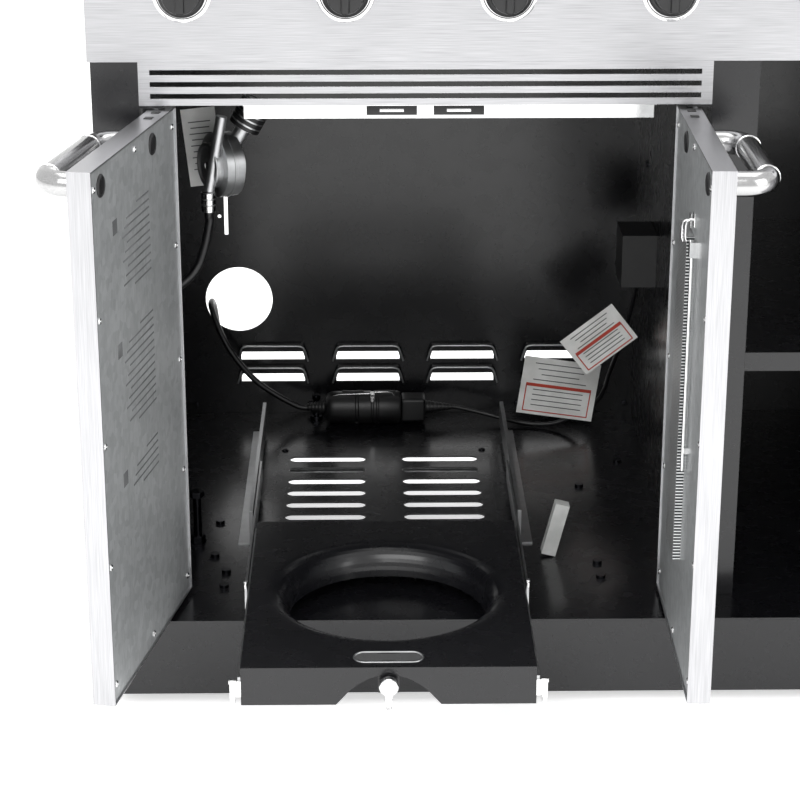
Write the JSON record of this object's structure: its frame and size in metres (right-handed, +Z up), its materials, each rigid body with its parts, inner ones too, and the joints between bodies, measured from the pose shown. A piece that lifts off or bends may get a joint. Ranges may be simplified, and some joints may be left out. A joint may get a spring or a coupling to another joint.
{
  "type": "gas barbecue grill",
  "caption": "Gas barbecue grill on a cabinet cart with an open doorway, pull-out cylinder tray, hood and side burner.",
  "frame": {"origin": "middle of the resting grill's box, on the ground", "axes": "+Z up, the doors and the control panel face -Y, +X to the right seen from the front"},
  "size_m": [1.1444, 1.217, 1.171],
  "materials": {
    "black_enamel": "gloss powder coat",
    "stainless": "fine brushed",
    "galvanised": "dull zinc grey",
    "polished_tube": "satin tube",
    "zinc": "zinc plated",
    "chrome": "bright plate",
    "diecast": "cast, matt",
    "black_plastic": "moulded",
    "black_rubber": "matt",
    "tyre": "moulded",
    "cast_iron": "seasoned, matt",
    "burner_steel": "heat toned",
    "brass": "cast",
    "label_paper": "uncoated",
    "pale_plastic": "moulded"
  },
  "bodies": {
    "cart": {"base_skirt": "black_enamel", "floor_panel": "black_enamel", "floor_bolts": "zinc", "vent_plate": "black_enamel", "side_left": "black_enamel", "side_right": "black_enamel", "divider": "black_enamel", "back_panel": "black_enamel", "louver_panel": "stainless", "magnet_bracket": "galvanised", "control_panel": "stainless", "manifold": "zinc", "regulator": "diecast", "gas_hose": "black_rubber", "cook_box": "cast_iron", "burners": "burner_steel", "flame_tamers": "galvanised", "grates": "cast_iron", "prop_block": "pale_plastic", "side_deck": "stainless", "side_burner": "brass", "side_grate": "cast_iron", "shelf": "black_enamel", "slides_outer": "zinc", "control_box": "black_plastic", "inner_cord": "black_rubber", "coupling": "black_plastic", "tags": "label_paper", "mains_lead": "black_rubber", "mains_plug": "black_plastic", "caster_plates": "zinc"},
    "left_door": {"door_left": "stainless", "liner_left": "galvanised", "handle_left": "polished_tube"},
    "right_door": {"door_right": "stainless", "liner_right": "galvanised", "handle_right": "polished_tube", "door_pocket": "zinc", "lighter": "chrome"},
    "narrow_door": {"door_bay2": "stainless", "handle_bay2": "polished_tube"},
    "tray": {"tray": "black_enamel", "slides_inner": "zinc"},
    "slide_mid": {"slides_middle": "zinc"},
    "thumbscrew": {"thumbscrew": "chrome"},
    "igniter": {"igniter_button": "black_plastic"},
    "grease_tray": {"grease_tray": "galvanised"},
    "hood": {"hood": "stainless", "hood_handle": "polished_tube"},
    "side_lid": {"side_lid": "stainless"},
    "fork_left": {"fork_left": "zinc"},
    "fork_right": {"fork_right": "zinc"},
    "wheel_left": {"wheel_left": "tyre"},
    "wheel_right": {"wheel_right": "tyre"},
    "rear_wheels": {"rear_wheels": "tyre"},
    "knob_1": {"knob_1": "black_plastic"},
    "knob_2": {"knob_2": "black_plastic"},
    "knob_3": {"knob_3": "black_plastic"},
    "knob_4": {"knob_4": "black_plastic"},
    "knob_5": {"knob_5": "black_plastic"}
  },
  "joints": [
    {"name": "tray_slide", "type": "slide", "parent": "cart", "child": "tray", "axis": [0, 1, 0], "range_m": [0, 0.43]},
    {"name": "slide_follow", "type": "slide", "parent": "cart", "child": "slide_mid", "axis": [0, 1, 0], "range_m": [0, 0.215]},
    {"name": "left_door_hinge", "type": "hinge", "parent": "cart", "child": "left_door", "pos_m": [-0.47353, -0.156, 0.3], "axis": [0, 0, 1], "range_deg": [0, 101]},
    {"name": "right_door_hinge", "type": "hinge", "parent": "cart", "child": "right_door", "pos_m": [0.09947, -0.156, 0.3], "axis": [0, 0, -1], "range_deg": [0, 89]},
    {"name": "narrow_door_hinge", "type": "hinge", "parent": "cart", "child": "narrow_door", "pos_m": [0.47047, -0.156, 0.3], "axis": [0, 0, -1], "range_deg": [0, 101]},
    {"name": "thumbscrew_turn", "type": "hinge", "parent": "tray", "child": "thumbscrew", "pos_m": [-0.23003, -0.442, 0.138], "axis": [0, 1, 0], "continuous": true},
    {"name": "knob_1_turn", "type": "hinge", "parent": "cart", "child": "knob_1", "pos_m": [-0.44153, -0.162, 0.7955], "axis": [0, 1, 0], "range_deg": [-225, 0]},
    {"name": "knob_2_turn", "type": "hinge", "parent": "cart", "child": "knob_2", "pos_m": [-0.27153, -0.162, 0.7955], "axis": [0, 1, 0], "range_deg": [-225, 0]},
    {"name": "knob_3_turn", "type": "hinge", "parent": "cart", "child": "knob_3", "pos_m": [-0.10153, -0.162, 0.7955], "axis": [0, 1, 0], "range_deg": [-225, 0]},
    {"name": "knob_4_turn", "type": "hinge", "parent": "cart", "child": "knob_4", "pos_m": [0.06847, -0.162, 0.7955], "axis": [0, 1, 0], "range_deg": [-225, 0]},
    {"name": "knob_5_turn", "type": "hinge", "parent": "cart", "child": "knob_5", "pos_m": [0.35197, -0.162, 0.7955], "axis": [0, 1, 0], "range_deg": [-225, 0]},
    {"name": "igniter_press", "type": "slide", "parent": "cart", "child": "igniter", "axis": [0, 1, 0], "range_m": [0, 0.004], "stiffness_N_per_m": 500},
    {"name": "grease_tray_slide", "type": "slide", "parent": "cart", "child": "grease_tray", "axis": [0, 1, 0], "range_m": [0, 0.3]},
    {"name": "hood_hinge", "type": "hinge", "parent": "cart", "child": "hood", "pos_m": [-0.18653, 0.373, 0.888], "axis": [-1, 0, 0], "range_deg": [0, 85]},
    {"name": "side_lid_hinge", "type": "hinge", "parent": "cart", "child": "side_lid", "pos_m": [0.35197, 0.415, 0.89], "axis": [-1, 0, 0], "range_deg": [0, 95]},
    {"name": "caster_left_swivel", "type": "hinge", "parent": "cart", "child": "fork_left", "pos_m": [-0.46153, -0.147, 0.1], "axis": [0, 0, 1], "continuous": true},
    {"name": "caster_left_roll", "type": "hinge", "parent": "fork_left", "child": "wheel_left", "pos_m": [-0.46153, -0.125, 0.0375], "axis": [1, 0, 0], "continuous": true},
    {"name": "caster_right_swivel", "type": "hinge", "parent": "cart", "child": "fork_right", "pos_m": [0.45847, -0.147, 0.1], "axis": [0, 0, 1], "continuous": true},
    {"name": "caster_right_roll", "type": "hinge", "parent": "fork_right", "child": "wheel_right", "pos_m": [0.45847, -0.125, 0.0375], "axis": [1, 0, 0], "continuous": true},
    {"name": "rear_axle_roll", "type": "hinge", "parent": "cart", "child": "rear_wheels", "pos_m": [-0.00153, 0.398, 0.0375], "axis": [1, 0, 0], "continuous": true}
  ],
  "couplings": [
    {"joint": "slide_follow", "follows": "tray_slide", "ratio": 0.5},
    {"joint": "left_door_hinge", "follows": "tray_slide", "rad_per_m": 4.0994},
    {"joint": "right_door_hinge", "follows": "tray_slide", "rad_per_m": 3.6124}
  ]
}
